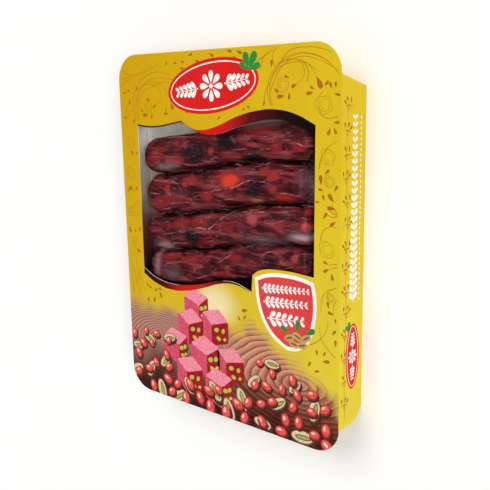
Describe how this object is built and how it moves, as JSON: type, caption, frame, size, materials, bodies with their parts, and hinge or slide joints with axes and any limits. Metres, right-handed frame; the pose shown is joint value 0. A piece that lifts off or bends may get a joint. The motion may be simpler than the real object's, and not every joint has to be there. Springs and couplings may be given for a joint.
{
  "type": "pack of turkish delight sticks",
  "caption": "Shut carton lying on its back, with knobbly sticks of pomegranate turkish delight under tight clear film in its wavy window.",
  "frame": {"origin": "under the middle of the pack's outline, on the surface that it lies on", "axes": "+X across the front card, +Y up its height as it is read, +Z out of the window"},
  "size_m": [0.1806, 0.24, 0.0255],
  "materials": {
    "carton": "gloss-varnished folding board, yellow print outside and white inside",
    "delight": "dark red set fruit gel, soft and slightly see-through, with nuts inside",
    "film": "clear heat-shrunk film with fine creases"
  },
  "bodies": {
    "root": {"carton": "carton", "stick_1": "delight", "stick_2": "delight", "stick_3": "delight", "stick_4": "delight", "film": "film"}
  },
  "joints": []
}
